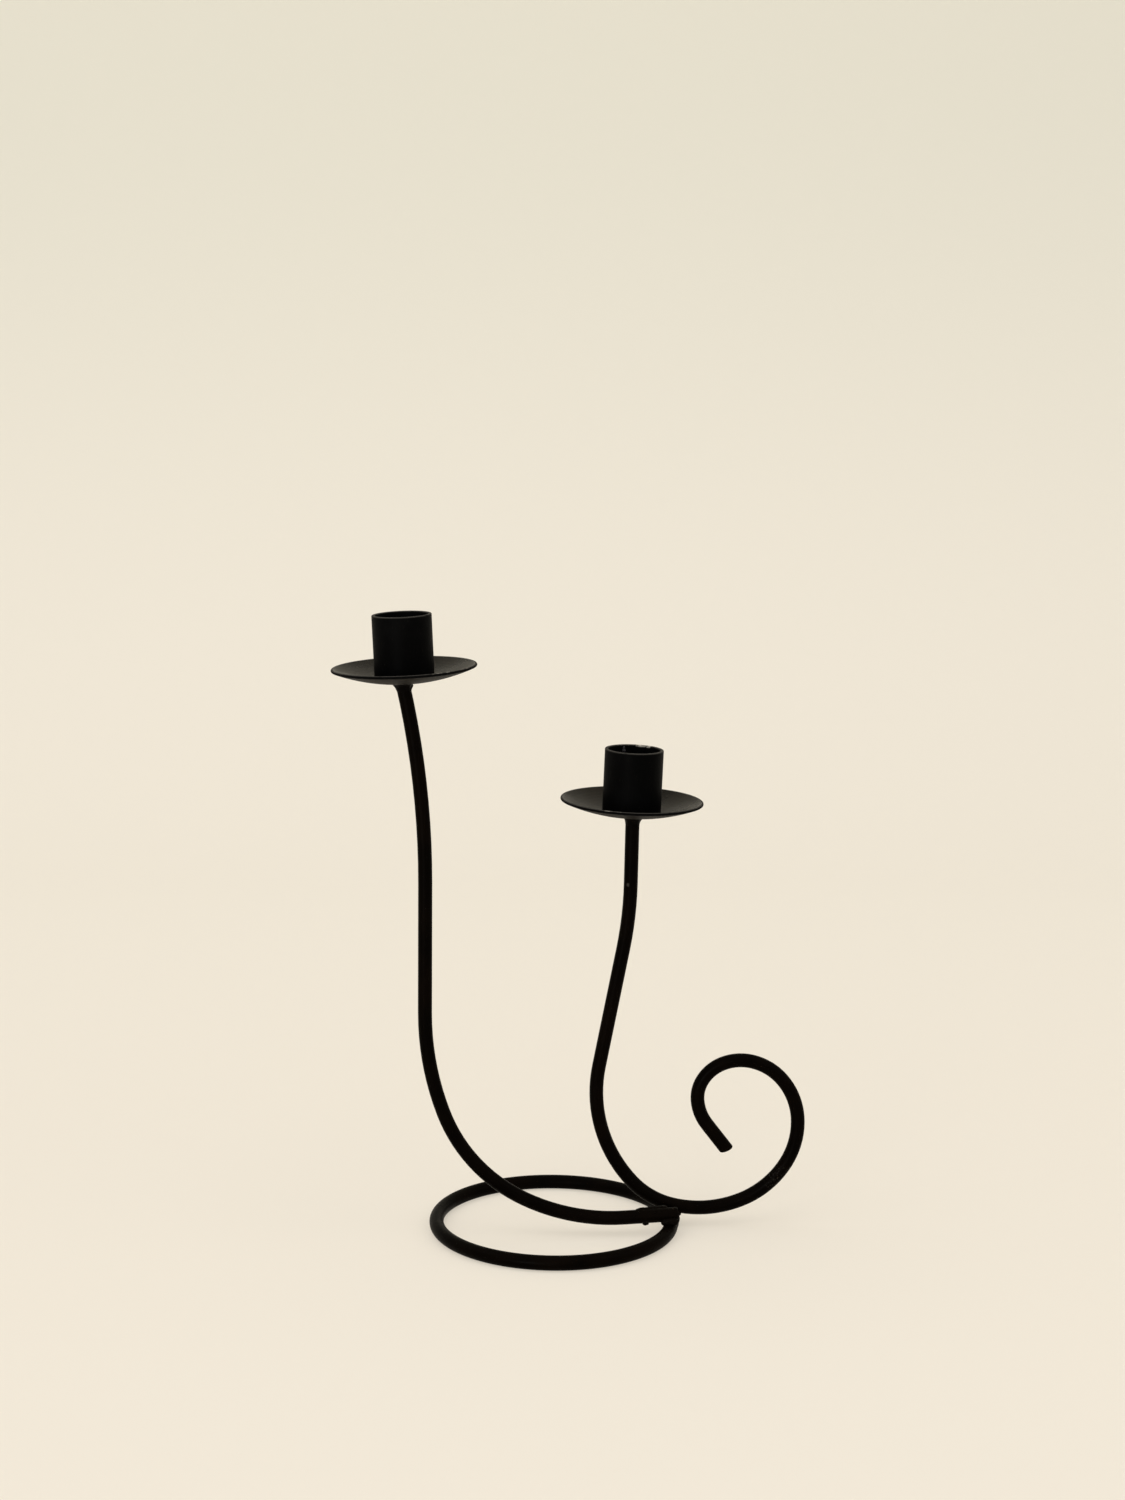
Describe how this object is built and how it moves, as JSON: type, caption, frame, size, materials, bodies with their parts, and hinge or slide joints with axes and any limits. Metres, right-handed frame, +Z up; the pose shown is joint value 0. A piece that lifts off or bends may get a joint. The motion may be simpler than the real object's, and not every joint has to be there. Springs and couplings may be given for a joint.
{
  "type": "candle holder",
  "caption": "Black welded candle holder on a round-bar ring: a tall bent arm and a lower scrolled arm, each carrying a dished drip pan and a tube cup for a candle.",
  "frame": {"origin": "centre of the base ring, on the table it stands on", "axes": "+X to the right along both arms, towards the scroll; +Y to the back; +Z up"},
  "size_m": [0.2014, 0.1082, 0.2691],
  "materials": {
    "bar_paint": "satin",
    "pan_paint": "satin",
    "cup_paint": "satin",
    "weld_paint": "satin"
  },
  "bodies": {
    "root": {"base_ring": "bar_paint", "ring_seam_weld": "weld_paint", "tall_arm": "bar_paint", "scroll_arm": "bar_paint", "tall_arm_ring_weld": "weld_paint", "scroll_arm_ring_weld": "weld_paint", "tall_drip_pan": "pan_paint", "low_drip_pan": "pan_paint", "tall_pan_weld": "weld_paint", "low_pan_weld": "weld_paint", "tall_candle_cup": "cup_paint", "low_candle_cup": "cup_paint", "tall_cup_weld": "weld_paint", "low_cup_weld": "weld_paint"}
  },
  "joints": []
}
